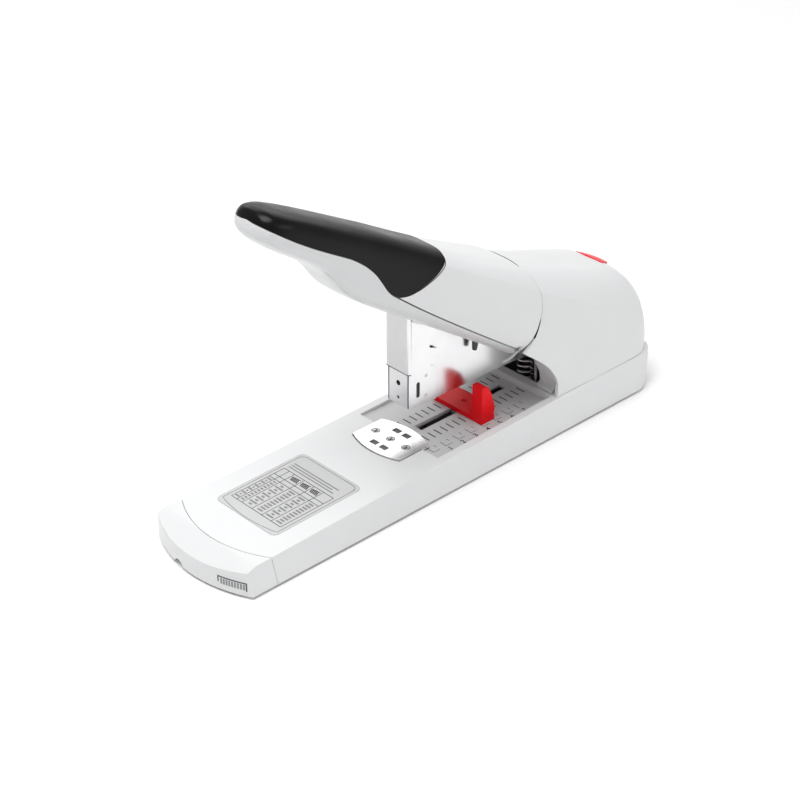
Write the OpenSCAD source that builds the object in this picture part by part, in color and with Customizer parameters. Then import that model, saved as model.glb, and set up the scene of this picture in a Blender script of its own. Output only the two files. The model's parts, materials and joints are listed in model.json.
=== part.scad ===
// Heavy duty stapler with a long deck, a depth stop and a front-loading magazine.
// +Z is up, the long side lies along Y and the drawer end points to -Y.
// The origin is under the middle of the whole part, on the plane that the feet rest on.

/* [Base] */
// Width of the base at its bottom edge
base_w = 83; // [79:0.5:88]
// Width of the base along its top edge
base_top_w = 76; // [72:0.5:78]
// Front tip of the drawer, measured back from the origin
front_y = -171; // [-176:0.5:-168]
// Back end of the base and of the rear cover
rear_y = 171; // [168:0.5:176]
// Height of the base's underside above the feet plane
skirt_z = 1.5; // [1:0.25:2]
// Height of the deck at its front end
deck_front_z = 18.3; // [17.5:0.1:19]
// Height of the deck at its back end
deck_rear_z = 25.6; // [25:0.1:26.5]
// Wall thickness of the plastic shells
wall = 2.4; // [2:0.1:3]

/* [Anvil and scale] */
// Place of the anvil's middle along the base
anvil_y = -22; // [-24:0.5:-20]
// Height of the anvil's top face
anvil_z = 22; // [21.5:0.1:22.5]
// Width of the anvil plate
anvil_w = 40; // [38:0.5:42]
// Length of the anvil plate along its straight sides
anvil_l = 23; // [22:0.5:24]
// Distance of each pair of clinch grooves from the anvil's middle
groove_y = 9; // [8.5:0.1:9.2]
// Height of the scale plate's top face
scale_z = 20; // [19.6:0.1:20.2]
// Width of the scale plate
scale_w = 66; // [60:1:68]

/* [Paper stop] */
// Height of the finger block over the scale plate
stop_h = 25; // [20:0.5:27]
// Depth of the stop's foot along the slide
stop_l = 18; // [14:0.5:19]

/* [Handle] */
// Handle hinge, distance behind the origin
handle_y = 37; // [36.5:0.1:37.5]
// Handle hinge, height
handle_z = 89; // [88.5:0.1:89.5]
// Slope of the raised handle
handle_rise = 28; // [27:0.5:29]
// Length of the handle from its hinge to its tip
handle_l = 189; // [184:1:196]
// Radius of the seam between handle and rear cover at the sides
seam_r = 30.4; // [30:0.1:31]

/* [Arm and head] */
// Arm hinge, distance behind the origin
arm_y = 133; // [132:0.5:134]
// Arm hinge, height
arm_z = 38; // [37.5:0.5:38.5]
// Height of the head's lower edge while the arm is up
head_z = 43.2; // [43:0.1:43.5]
// Outer width of the driver carrier around the head
carrier_w = 19.8; // [19.8:0.1:20]

/* [Drawer] */
// Length of the reserve drawer's tray
tray_l = 96; // [80:1:100]
// Width of the reserve drawer's tray
tray_w = 56; // [50:1:57]

/* [Hidden] */
$fn = 48;
eps = 0.01;
gap = 0.3;
deck_y0 = -156;
deck_y1 = 153;
deck_slope = (deck_rear_z - deck_front_z) / (deck_y1 - deck_y0);
head_y = anvil_y + 6;
white = [0.93, 0.93, 0.94];
light = [0.86, 0.87, 0.88];
grey = [0.62, 0.63, 0.64];
steel = [0.76, 0.77, 0.78];
bright = [0.88, 0.88, 0.89];
red = [0.83, 0.05, 0.06];
black = [0.07, 0.07, 0.08];

// Height of the deck's surface at a place along the base.
function deck(y) = deck_front_z + deck_slope * (y - deck_y0);

// Solid skin over rings that all have the same number of points.
module loft(rings) {
    n = len(rings[0]);
    last = len(rings) - 1;
    points = [for (r = rings, p = r) p];
    sides = [
        for (k = [0 : last - 1], i = [0 : n - 1])
            let (j = (i + 1) % n, a = k * n, b = a + n)
            each [[a + i, b + i, b + j], [a + i, b + j, a + j]]
    ];
    first_cap = [[for (i = [0 : n - 1]) i]];
    last_cap = [[for (i = [n - 1 : -1 : 0]) last * n + i]];
    polyhedron(points = points, faces = concat(sides, first_cap, last_cap));
}

// Coil spring along Z, from z = 0, as a swept round wire.
module coil(radius, wire, height, turns, steps = 14, edges = 6) {
    count = turns * steps;
    rings = [
        for (k = [0 : count])
            let (a = 360 * k / steps, z = wire / 2 + (height - wire) * k / count)
            [for (e = [0 : edges - 1])
                let (b = 360 * e / edges, r = radius + wire / 2 * cos(b))
                [r * cos(a), r * sin(a), z + wire / 2 * sin(b)]]
    ];
    loft([for (k = [count : -1 : 0]) rings[k]]);
}

// Extrusion along X of an outline drawn in Y and Z.
module across(width, centre = 0) {
    translate([centre - width / 2, 0, 0])
        rotate([90, 0, 90])
            linear_extrude(width)
                children();
}

// Cylinder along X through a point.
module pin_x(y, z, d, x0, x1) {
    translate([x0, y, z])
        rotate([0, 90, 0])
            cylinder(d = d, h = x1 - x0);
}

// Points of an arc in a plane.
function arc(cx, cy, r, a0, a1, steps) = [
    for (i = [0 : steps]) let (a = a0 + (a1 - a0) * i / steps) [cx + r * cos(a), cy + r * sin(a)]
];

// Rounded rectangle plate standing on z = 0.
module round_plate(w, l, h, r) {
    linear_extrude(h)
        hull()
            for (x = [-1, 1], y = [-1, 1])
                translate([x * (w / 2 - r), y * (l / 2 - r)])
                    circle(r, $fn = 24);
}

// Countersunk-looking pan screw with a cross slot, head top at z = 0.
module screw(d, head_d, head_h, length) {
    difference() {
        union() {
            translate([0, 0, -head_h])
                cylinder(d = head_d, h = head_h);
            translate([0, 0, -length])
                cylinder(d = d, h = length - head_h + eps);
        }
        for (a = [0, 90])
            rotate(a)
                translate([-head_d * 0.36, -0.35, -head_h * 0.5])
                    cube([head_d * 0.72, 0.7, head_h]);
    }
}

// ---------- base ----------

// Radius and centre of the front seam seen from above: 11 mm deep over the deck's width.
seam_sag = 11;
seam_half = 38;
seam_plan_r = (seam_half * seam_half + seam_sag * seam_sag) / (2 * seam_sag);
seam_plan_y = deck_y0 + seam_plan_r;
front_sag = 9;
front_plan_r = (seam_half * seam_half + front_sag * front_sag) / (2 * front_sag);

// Plan of the base's inside or outside: straight sides, rounded back corners, arched front.
module base_plan(inset, half) {
    r = 20 - inset;
    back = rear_y - inset;
    side = half - inset;
    polygon(concat(
        [[-side, front_y - 1], [side, front_y - 1]],
        arc(side - r, back - r, r, 0, 60, 6),
        arc(0, back - 74 + inset, 74 - inset, 76, 104, 6),
        arc(-side + r, back - r, r, 120, 180, 6)
    ));
}

// Section of the base across its length, with sloping sides and a soft top edge.
module base_section(inset, top) {
    low = base_w / 2 - inset;
    high = base_top_w / 2 - inset;
    soft = 2.5;
    polygon(concat(
        [[-low, 0], [low, 0]],
        arc(high - soft, top - soft, soft, 10, 90, 4),
        arc(-high + soft, top - soft, soft, 90, 170, 4)
    ));
}

// Side outline of the base with the big round under its back end.
module base_side(inset) {
    r = 20;
    polygon(concat(
        [[front_y - 1, skirt_z - (inset > 0 ? 2 : 0)]],
        arc(rear_y - inset - r, skirt_z + r, r, -90, -14, 6),
        [[rear_y - inset, deck(rear_y) - inset], [front_y - 1, deck(front_y) - inset]]
    ));
}

module base_solid(inset) {
    intersection() {
        across(base_w + 2)
            base_side(inset);
        translate([0, 0, -1])
            linear_extrude(40)
                base_plan(inset, base_w / 2);
        translate([0, rear_y + 1, 0])
            rotate([90, 0, 0])
                linear_extrude(rear_y - front_y + 2)
                    base_section(inset, deck_rear_z + 0.5);
    }
}

module front_cut(radius, centre_y) {
    translate([0, centre_y, -5])
        cylinder(r = radius, h = 60, $fn = 180);
}

module base_housing() {
    color(white)
        difference() {
            intersection() {
                base_solid(0);
                union() {
                    front_cut(seam_plan_r, seam_plan_y);
                    translate([-60, -140, -1])
                        cube([120, 340, 60]);
                }
            }
            difference() {
                base_solid(wall);
                // floor of the scale recess and its walls
                translate([-scale_w / 2 - wall, anvil_y - 16, scale_z - 4.2])
                    cube([scale_w + 2 * wall, 118, 20]);
                // bosses that take the bottom screws
                for (x = [-1, 1], y = [-56, 140])
                    translate([x * 34, y, skirt_z + 2])
                        cylinder(d = 6.6, h = 30);
            }
            // open front for the drawer
            translate([-tray_w / 2 - 2, front_y - 1, -1])
                cube([tray_w + 4, 36, 16.2]);
            // bottom opening, closed by the bottom plate
            translate([-base_w / 2 + wall + 1, deck_y0 + 12, -1])
                cube([base_w - 2 * wall - 2, rear_y - deck_y0 - 38, 3.6]);
            // anvil seat
            translate([0, anvil_y, anvil_z - 3])
                anvil_outline(0.4, 10);
            translate([-14.6, anvil_y - 8, 5])
                cube([29.2, 16, 20]);
            // scale recess and slot
            translate([-scale_w / 2, anvil_y + 6, scale_z - 1.6])
                cube([scale_w, 94, 10]);
            translate([-5, anvil_y + 22, 5])
                cube([10, 74, 20]);
            // room for the side frames and the arm
            translate([-24, anvil_y + 106, 5])
                cube([48, 70, 30]);
            // label seat
            translate([0, -99.5, deck(-99.5) - 0.4])
                rotate([atan(deck_slope), 0, 0])
                    round_plate(51, 65, 3, 4);
            for (x = [-1, 1], y = [-56, 140])
                translate([x * 34, y, 0])
                    cylinder(d = 2.6, h = 16);
        }
}

module base_bottom_plate() {
    color(grey)
        difference() {
            union() {
                translate([-base_w / 2 + wall + 1.2, deck_y0 + 12.2, skirt_z + 0.1])
                    cube([base_w - 2 * wall - 2.4, rear_y - deck_y0 - 38.4, 1.8]);
                // posts under the spine
                for (x = [-1, 1], y = [-30, 50, 132])
                    translate([x * 16, y, skirt_z + 1.8])
                        cylinder(d = 8, h = 10 - skirt_z - 1.8);
            }
            for (x = [-1, 1], y = [-56, 140])
                translate([x * 34, y, 0]) {
                    cylinder(d = 3.4, h = 6);
                    cylinder(d = 5.4, h = skirt_z + 1.1);
                }
            // finger slot under the drawer front
            translate([-14, front_y, 0])
                cube([28, 34, 6]);
        }
}

module rubber_feet() {
    color(black)
        for (x = [-1, 1], y = [-130, 128])
            translate([x * 26, y, 0])
                cylinder(d = 14, h = skirt_z + 0.1);
}

module bottom_screws() {
    color(steel)
        for (x = [-1, 1], y = [-56, 140])
            translate([x * 34, y, skirt_z])
                rotate([180, 0, 0])
                    screw(2.6, 5, 1, 10);
}

module drawer_rails() {
    color(grey)
        for (x = [-1, 1])
            translate([x * (tray_w / 2 + 1.3) - 0.9, -148, skirt_z + 1.9])
                cube([1.8, tray_l + 8, 8]);
}

module spine_plate() {
    color(steel)
        difference() {
            translate([-22, anvil_y - 14, 10])
                cube([44, 192, 2.5]);
            for (x = [-12.7, 0, 12.7])
                translate([x, anvil_y, 0])
                    cylinder(d = 3, h = 20);
            for (x = [-19, 19], y = [112, 140])
                translate([x, y, 0])
                    cylinder(d = 4, h = 20);
        }
}

// ---------- anvil, scale and label ----------

// Outline of the anvil: straight sides, bowed front and back.
module anvil_outline(grow, height) {
    half = anvil_w / 2 + grow;
    flat = anvil_l / 2 + grow;
    bow = 4.6;
    r = (half * half + bow * bow) / (2 * bow);
    reach = asin(half / r);
    linear_extrude(height)
        polygon(concat(
            arc(0, flat + bow - r, r, 90 - reach, 90 + reach, 10),
            arc(0, -flat - bow + r, r, 270 - reach, 270 + reach, 10)
        ));
}

module anvil_block() {
    color(steel)
        difference() {
            translate([-12.6, anvil_y - 7.6, 12.5])
                cube([25.2, 15.2, anvil_z - 3 - 12.5]);
            for (x = [-12.7, 0, 12.7])
                translate([x, anvil_y, 0])
                    cylinder(d = 3, h = 30);
        }
}

module anvil_plate() {
    color(bright)
        difference() {
            translate([0, anvil_y, anvil_z - 3])
                anvil_outline(0, 3);
            // clinch grooves, two for each staple leg
            for (side = [-1, 1], x = [-1, 1])
                translate([x * 4, anvil_y + side * groove_y, anvil_z + 2.1])
                    rotate([0, 90, 0])
                        cylinder(r = 2.9, h = 5.4, center = true, $fn = 32);
            for (x = [-12.7, 0, 12.7])
                translate([x, anvil_y, 0]) {
                    cylinder(d = 3, h = 30);
                    translate([0, 0, anvil_z - 1.2])
                        cylinder(d = 5.4, h = 5);
                }
        }
}

module anvil_screws() {
    color(steel)
        for (x = [-12.7, 0, 12.7])
            translate([x, anvil_y, anvil_z - 0.1])
                screw(3, 5.4, 1.1, 11.5);
}

module scale_plate() {
    color(grey)
        difference() {
            translate([-scale_w / 2 + 0.2, anvil_y + 6.2, scale_z - 1.6])
                cube([scale_w - 0.4, 93.6, 1.6]);
            translate([0, anvil_y, scale_z - 3])
                anvil_outline(0.4, 6);
            translate([-3, anvil_y + 22, 5])
                cube([6, 71, 20]);
        }
}

module label_plate() {
    color(light)
        translate([0, -99.5, deck(-99.5) - 0.4])
            rotate([atan(deck_slope), 0, 0])
                round_plate(50.6, 64.6, 0.5, 4);
}

// ---------- fixed steel frame ----------

// One side plate: foot on the spine, neck to the arm hinge, nose to the handle hinge.
module frame_outline() {
    difference() {
        union() {
            hull() {
                translate([handle_y, handle_z])
                    circle(11);
                translate([88, 62])
                    circle(11);
            }
            hull() {
                translate([88, 62])
                    circle(11);
                translate([arm_y, arm_z + 4])
                    circle(13);
            }
            polygon([[86, 12.5], [152, 12.5], [152, 20], [arm_y + 12, 42], [96, 60], [84, 54]]);
        }
        translate([handle_y, handle_z])
            circle(d = 8);
        translate([arm_y, arm_z])
            circle(d = 6);
    }
}

module frame_plate(side) {
    color(steel) {
        across(2, side * 14)
            frame_outline();
        difference() {
            translate([side > 0 ? 13 : -22, 100, 12.5])
                cube([9, 52, 2]);
            for (y = [112, 140])
                translate([side * 19, y, 0])
                    cylinder(d = 4, h = 20);
        }
    }
}

module frame_left() {
    frame_plate(-1);
}

module frame_right() {
    frame_plate(1);
}

module frame_screws() {
    color(steel)
        for (x = [-19, 19], y = [112, 140])
            translate([x, y, 16.5])
                screw(4, 5, 2, 8);
}

module arm_pin() {
    color(steel)
        pin_x(arm_y, arm_z, 6, -16, 16);
}

module handle_pin() {
    color(steel)
        pin_x(handle_y, handle_z, 8, -16, 16);
}

module arm_spring() {
    color(steel)
        translate([0, 92, 12.5])
            coil(5.5, 1.2, 24.6, 6);
}

module handle_spring() {
    color(steel)
        translate([-5.5, handle_y, handle_z])
            rotate([0, 90, 0])
                coil(5.6, 1.3, 11, 6);
}

// ---------- rear cover ----------

// Radius of the seam barrel at a distance from the middle plane.
seam_bow = 5.1;
seam_side = 33;
seam_bow_r = (seam_side * seam_side + seam_bow * seam_bow) / (2 * seam_bow);
function seam_at(x) = seam_r + seam_bow - seam_bow_r + sqrt(seam_bow_r * seam_bow_r - x * x);

// Half width, crown height and squareness of the cover at places along Y.
cover_rows = [
    [38, 33.5, 128, 3.2],
    [52, 34.5, 118.4, 3.2],
    [64, 35.6, 111.6, 3.2],
    [78, 36.6, 106, 3.2],
    [92, 37.2, 100.8, 3.2],
    [106, 37.6, 96, 3.2],
    [120, 37.9, 91.4, 3.2],
    [132, 38, 87.2, 3.2],
    [142, 38, 83.6, 3.2],
    [150, 38, 79.6, 3.1],
    [157, 37.1, 74.2, 3],
    [162, 34.7, 67.6, 2.9],
    [166, 31.2, 58, 2.8],
    [168.6, 27.5, 46, 2.7],
    [170, 24.2, 36, 2.6],
    [170.6, 21.9, 30, 2.4],
    [170.9, 20, 27, 2.2]
];

// Column c of a table as pairs for lookup().
function column(rows, c) = [for (r = rows) [r[0], r[c]]];

cover_half = column(cover_rows, 1);
cover_top = column(cover_rows, 2);
cover_power = column(cover_rows, 3);

// Point of the cover at place y: t runs from one foot over the crown to the other.
function cover_point(t, y, inset) =
    let (a = 180 * t, c = cos(a), p = lookup(y, cover_power), base = deck(y) + 0.1)
    [
        (lookup(y, cover_half) - inset) * sign(c) * pow(abs(c), 2 / p),
        y,
        base + (lookup(y, cover_top) - inset - base) * pow(sin(a), 2 / p)
    ];

// Front edge of the cover by height: throat arch below, seam with the handle above.
throat_edge = [[20, 78], [27.7, 81.8], [33.8, 80.6], [44.5, 74.7], [53.6, 65.5], [62.9, 52.9]];
function cover_front(x, z) =
    z < 62.9 ? lookup(z, throat_edge)
             : handle_y + sqrt(max(0, pow(seam_at(x) + gap, 2) - pow(z - handle_z, 2)));

// Repeated substitution that finds where the cover's line t meets its front edge.
function cover_start(t, y, n = 7) =
    n == 0 ? y : let (q = cover_point(t, y, 0)) cover_start(t, (y + cover_front(q[0], q[2])) / 2, n - 1);

// Closed shell between two grids of points with the same rows and columns.
module skin(outer, inner) {
    rows = len(outer);
    n = len(outer[0]);
    shift = rows * n;
    points = concat([for (r = outer, p = r) p], [for (r = inner, p = r) p]);
    faces = concat(
        [for (k = [0 : rows - 2], i = [0 : n - 2])
            let (a = k * n + i, b = a + n)
            each [[a, a + 1, b + 1], [a, b + 1, b], [a + shift, b + 1 + shift, a + 1 + shift],
                  [a + shift, b + shift, b + 1 + shift]]],
        [for (i = [0 : n - 2])
            let (a = i, b = (rows - 1) * n + i)
            each [[a, a + shift, a + 1 + shift], [a, a + 1 + shift, a + 1], [b, b + 1, b + 1 + shift],
                  [b, b + 1 + shift, b + shift]]],
        [for (k = [0 : rows - 2])
            let (a = k * n, b = a + n, c = a + n - 1, d = c + n)
            each [[a, b, b + shift], [a, b + shift, a + shift], [c, c + shift, d + shift],
                  [c, d + shift, d]]]
    );
    polyhedron(points = points, faces = faces);
}

function cover_grid(inset) =
    let (steps = 30, rows = 18, back = rear_y - 0.1 - inset)
    [for (k = [0 : rows]) [
        for (i = [0 : steps])
            let (t = i / steps, front = cover_start(t, 70), f = pow(k / rows, 0.8))
            cover_point(t, front + (back - front) * f, inset)
    ]];

module rear_cover() {
    color(white)
        difference() {
            skin(cover_grid(0), cover_grid(wall));
            button_shape(0.4, 50);
        }
}

// Side view of a liner behind the throat's edge.
module throat_panel() {
    color(grey)
        for (side = [-1, 1])
            across(12.6, side * 25.6)
                polygon([[80.6, 26], [83.6, 27.7], [82.4, 34.4], [76.2, 45.6],
                         [66.8, 54.9], [56.6, 60.4], [60.2, 62.6], [69, 56.9], [78.6, 47],
                         [84.8, 35.2], [86, 27.7], [86, 24.4], [80.6, 24.2]]);
}

module cover_posts() {
    color(grey)
        for (x = [-1, 1])
            translate([x * 28, 128, deck(128) + 0.1])
                cylinder(d = 7, h = 36);
}

// ---------- release button ----------

button_y = 138;
button_tilt = 26;

// Shield-shaped column square to the cover's back slope, its straight edge to the front.
module button_shape(grow, height) {
    translate([0, button_y, 54])
        rotate([-button_tilt, 0, 0])
            linear_extrude(height)
                hull() {
                    circle(8.6 + grow, $fn = 32);
                    for (x = [-9, 9])
                        translate([x, -5.4])
                            circle(1.5 + grow, $fn = 16);
                }
}

module release_button() {
    color(red) {
        intersection() {
            button_shape(0, 50);
            translate([0, button_y, 54])
                rotate([-button_tilt, 0, 0])
                    union() {
                        translate([0, -2, -31])
                            sphere(r = 60.4, $fn = 64);
                    }
            translate([0, button_y, 54])
                rotate([-button_tilt, 0, 0])
                    translate([-20, -40, 16])
                        cube([40, 60, 40]);
        }
        translate([0, button_y, 54])
            rotate([-button_tilt, 0, 0])
                cylinder(d = 5, h = 16.1);
    }
}

module button_guide() {
    color(grey)
        translate([0, button_y, 54])
            rotate([-button_tilt, 0, 0])
                translate([0, 0, -10])
                    difference() {
                        cylinder(d = 13, h = 14);
                        translate([0, 0, 2])
                            cylinder(d = 9.4, h = 14);
                    }
}

module button_spring() {
    color(steel)
        translate([0, button_y, 54])
            rotate([-button_tilt, 0, 0])
                translate([0, 0, -8])
                    coil(3.4, 0.8, 8, 4);
}

// ---------- paper stop ----------

stop_y = 29;

module paper_stop() {
    color(red) {
        difference() {
            union() {
                translate([-17.4, stop_y, scale_z + 0.2])
                    cube([33.1, stop_l, 3]);
                translate([15.6, stop_y, scale_z + 0.2])
                    cube([8, 11, 3]);
            }
            translate([0, stop_y + stop_l / 2, 0])
                cylinder(d = 3, h = 60);
        }
        // neck in the slot
        difference() {
            translate([-2.7, stop_y + 3, scale_z - 1.9])
                cube([5.4, stop_l - 6, 2.2]);
            translate([0, stop_y + stop_l / 2, 0])
                cylinder(d = 3, h = 60);
        }
        // finger block with a sloping back
        translate([15.6, 0, scale_z])
            rotate([90, 0, 90])
                linear_extrude(8)
                    polygon(concat(
                        [[stop_y, 0.2], [stop_y + 11, 0.2]],
                        arc(stop_y + 3, 8, 8, -20, 20, 4),
                        [[stop_y + 8, stop_h - 6]],
                        arc(stop_y + 3, stop_h - 3, 3, 10, 90, 4),
                        [[stop_y, stop_h]]
                    ));
    }
}

module stop_shoe() {
    color(grey)
        difference() {
            translate([-4.6, stop_y + 2, scale_z - 4.2])
                cube([9.2, stop_l - 4, 2.3]);
            translate([0, stop_y + stop_l / 2, 0])
                cylinder(d = 3, h = 60);
        }
}

module stop_screw() {
    color(steel)
        translate([0, stop_y + stop_l / 2, scale_z - 4.8])
            rotate([180, 0, 0])
                screw(3, 5, 0.6, 7);
}

// ---------- drawer ----------

module drawer_front() {
    color(white)
        difference() {
            intersection() {
                base_solid(0);
                front_cut(front_plan_r, front_y + front_plan_r);
                // top that falls towards the front edge
                across(base_w + 2)
                    polygon([[front_y - 1, 0], [front_y - 1, 13.4], [deck_y0, deck(deck_y0)],
                             [-130, deck(-130)], [-130, 0]]);
                translate([-60, front_y - 1, 0])
                    cube([120, 31, 60]);
            }
            front_cut(seam_plan_r + 0.3, seam_plan_y);
            // finger notch
            translate([-10, front_y - 2, skirt_z - 1])
                rotate([-90, 0, 0])
                    cylinder(r = 4.2, h = 14, $fn = 32);
        }
}

module drawer_tray() {
    tray_y = -146;
    color(light) {
        difference() {
            translate([-tray_w / 2, tray_y, skirt_z + 2.4])
                cube([tray_w, tray_l, 10.6]);
            translate([-tray_w / 2 + 1.6, tray_y + 6, skirt_z + 4])
                cube([tray_w - 3.2, tray_l - 7.6, 12]);
        }
        // neck that joins the tray to the drawer front
        difference() {
            translate([-tray_w / 2, deck_y0 - 6, skirt_z + 2.4])
                cube([tray_w, 16.1, 10.6]);
            difference() {
                translate([-60, deck_y0 - 30, 0])
                    cube([120, 50, 30]);
                front_cut(seam_plan_r + 0.3, seam_plan_y);
            }
        }
    }
}

// Stick of staples: a crown with two legs.
module staple_stick(width, leg, length) {
    wire = 0.7;
    rotate([90, 0, 0])
        translate([0, 0, -length])
            linear_extrude(length)
                polygon([[-width / 2, 0], [-width / 2 + wire, 0], [-width / 2 + wire, leg - 1],
                         [width / 2 - wire, leg - 1], [width / 2 - wire, 0], [width / 2, 0], [width / 2, leg], [-width / 2, leg]]);
}

module reserve_staples() {
    color(steel)
        for (x = [-20, -6.6])
            translate([x, -136, skirt_z + 4])
                staple_stick(11.2, 8, 80);
}

// ---------- arm ----------

module arm_outline() {
    polygon([
        [head_y + 1.6, head_z], [head_y + 21.6, head_z - 1.6], [anvil_y + 100, head_z - 3],
        [arm_y + 4, arm_z - 7], [arm_y + 9, arm_z], [arm_y + 4, arm_z + 7], [98, 52],
        [54, 66], [anvil_y + 22, 95], [anvil_y + 20.6, 95], [anvil_y + 20.6, 66], [head_y + 1.6, 66]
    ]);
}

module arm_channel() {
    color(bright)
        difference() {
            union() {
                for (side = [-1, 1])
                    across(0.9, side * 7.45)
                        arm_outline();
                // roof that ties both plates together over the magazine
                translate([-7.9, anvil_y + 23, 59])
                    cube([15.8, 74, 1.2]);
                // floor strip behind the pusher
                across(15.8)
                    polygon([[74, 40.9], [arm_y - 14, 36.8], [arm_y - 14, 35.8], [74, 39.9]]);
            }
            pin_x(arm_y, arm_z, 8, -20, 20);
        }
}

module arm_bushes() {
    color(grey)
        difference() {
            pin_x(arm_y, arm_z, 8, -12.6, 12.6);
            pin_x(arm_y, arm_z, 6.1, -13, 13);
            translate([-6, arm_y - 10, arm_z - 10])
                cube([12, 20, 20]);
        }
}

// One cheek of the head with its vertical guide slot.
module head_cheek(side) {
    difference() {
        across(0.7, side * 8.25)
            polygon(concat(
                [[head_y + 0.2, head_z], [head_y + 21.8, head_z - 1.7]],
                arc(head_y + 16.8, 60.6, 5, 0, 90, 5),
                [[head_y + 0.2, 65.6]]
            ));
        hull()
            for (z = [49.5, 57])
                pin_x(head_y + 7.6, z, 2.6, side * 8.25 - 2, side * 8.25 + 2);
        for (z = [47.4, 60.4])
            pin_x(head_y + 14, z, 2, side * 8.25 - 2, side * 8.25 + 2);
    }
}

module head_housing() {
    color(bright)
        for (side = [-1, 1])
            head_cheek(side);
}

module head_rivets() {
    color(steel)
        for (side = [-1, 1], z = [47.4, 60.4])
            pin_x(head_y + 14, z, 2, side > 0 ? 7.9 : -8.6, side > 0 ? 8.6 : -7.9);
}

// ---------- magazine ----------

module magazine_channel() {
    y0 = head_y + 0.1;
    color(steel) {
        // end face with a sighting hole
        difference() {
            translate([-7.6, y0, head_z])
                cube([15.2, 1.1, 22.3]);
            translate([0, y0 - 1, 57.5])
                rotate([-90, 0, 0])
                    cylinder(d = 3.2, h = 4);
            translate([0, y0 - 1, 48])
                rotate([-90, 0, 0])
                    cylinder(d = 2, h = 4);
        }
        for (side = [-1, 1])
            translate([side * 6.3 - 0.4, y0 + 1, head_z + 0.4])
                cube([0.8, 90, 14]);
        translate([-6.7, y0 + 4, head_z + 0.4])
            cube([13.4, 87, 0.8]);
    }
}

module magazine_rail() {
    color(steel)
        difference() {
            translate([-4.8, head_y + 3.1, head_z + 1.2])
                cube([9.6, 80, 11.2]);
            translate([-3.9, head_y + 4.6, head_z + 2.4])
                cube([7.8, 80, 9]);
            translate([-1.3, head_y + 40, head_z + 10])
                cube([2.6, 50, 4]);
        }
}

module magazine_end() {
    color(grey)
        difference() {
            translate([-5.9, head_y + 83.1, head_z + 1.2])
                cube([11.8, 8, 12]);
            translate([0, head_y + 80, head_z + 7])
                rotate([-90, 0, 0])
                    cylinder(d = 2, h = 20);
        }
}

module pusher_rod() {
    color(steel)
        translate([0, head_y + 6, head_z + 7])
            rotate([-90, 0, 0])
                cylinder(d = 2, h = 88);
}

module staple_strip() {
    color(steel)
        translate([0, head_y + 2.9, head_z + 3])
            staple_stick(11.2, 10.8, 46);
}

// ---------- pusher ----------

module staple_pusher() {
    y = head_y + 49.4;
    color(red)
        difference() {
            union() {
                translate([-5.5, y, head_z + 2.9])
                    cube([11, 9, 10.9]);
            }
            difference() {
                translate([-5.1, y - 1, head_z])
                    cube([10.2, 11, 12.7]);
                translate([-3.5, y, head_z + 3.6])
                    cube([7, 9, 6.8]);
                translate([-1, y, head_z + 9])
                    cube([2, 9, 5]);
            }
            translate([0, y - 1, head_z + 7])
                rotate([-90, 0, 0])
                    cylinder(d = 2.2, h = 12);
        }
}

module pusher_spring() {
    color(steel)
        translate([0, head_y + 58.6, head_z + 7])
            rotate([-90, 0, 0])
                coil(2.2, 0.6, 24, 12, 12);
}

// ---------- driver ----------

roller_y = anvil_y + 10;
roller_z = 103.5;

// Cheek of the carrier with the hook on its back edge.
module carrier_outline() {
    difference() {
        polygon([
            [anvil_y + 5, 66], [anvil_y + 19.5, 66], [anvil_y + 22.5, 66.5], [anvil_y + 26.1, 68],
            [anvil_y + 26.1, 70], [anvil_y + 28, 71.9], [anvil_y + 30.9, 69.1], [anvil_y + 32.1, 70.3],
            [anvil_y + 31.6, 72.5], [anvil_y + 27.2, 76.5], [anvil_y + 21.6, 78.4], [anvil_y + 19.2, 85.8],
            [anvil_y + 19.9, 90.7], [anvil_y + 22, 97], [anvil_y + 22.6, 104], [anvil_y + 22.6, 112],
            [anvil_y + 5, 112]
        ]);
        hull() {
            translate([roller_y, roller_z])
                circle(d = 7.2);
            translate([roller_y + 6.6, roller_z])
                circle(d = 7.2);
        }
    }
}

module driver_carrier() {
    color(bright) {
        for (side = [-1, 1])
            across(1, side * (carrier_w / 2 - 0.5))
                carrier_outline();
        difference() {
            translate([-carrier_w / 2, anvil_y + 5, 66])
                cube([carrier_w, 0.8, 46]);
            translate([-2, anvil_y + 4, 65])
                cube([4, 3, 3]);
        }
        translate([-carrier_w / 2, anvil_y + 5, 111])
            cube([carrier_w, 17.6, 1]);
    }
}

module driver_core() {
    color(grey)
        translate([-carrier_w / 2 + 1, anvil_y + 8.6, 84])
            cube([carrier_w - 2, 11.4, 14]);
}

module driver_blade() {
    color(steel)
        translate([-5.4, anvil_y + 7.5, 58])
            cube([10.8, 1.1, 40]);
}

module driver_rivets() {
    color(steel)
        for (x = [-3, 3])
            translate([x, anvil_y + 4.5, 92])
                rotate([-90, 0, 0])
                    cylinder(d = 2.4, h = 0.5);
}

// ---------- handle ----------

// Frame of the raised handle: u runs from the hinge to the tip, v is square to it.
module handle_frame() {
    translate([0, handle_y, handle_z])
        rotate([-handle_rise, 0, 0])
            children();
}

// Outline in u and v, extruded along X inside the handle's frame.
module handle_across(width, centre = 0) {
    translate([centre + width / 2, 0, 0])
        rotate([90, 0, -90])
            linear_extrude(width)
                children();
}

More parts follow.
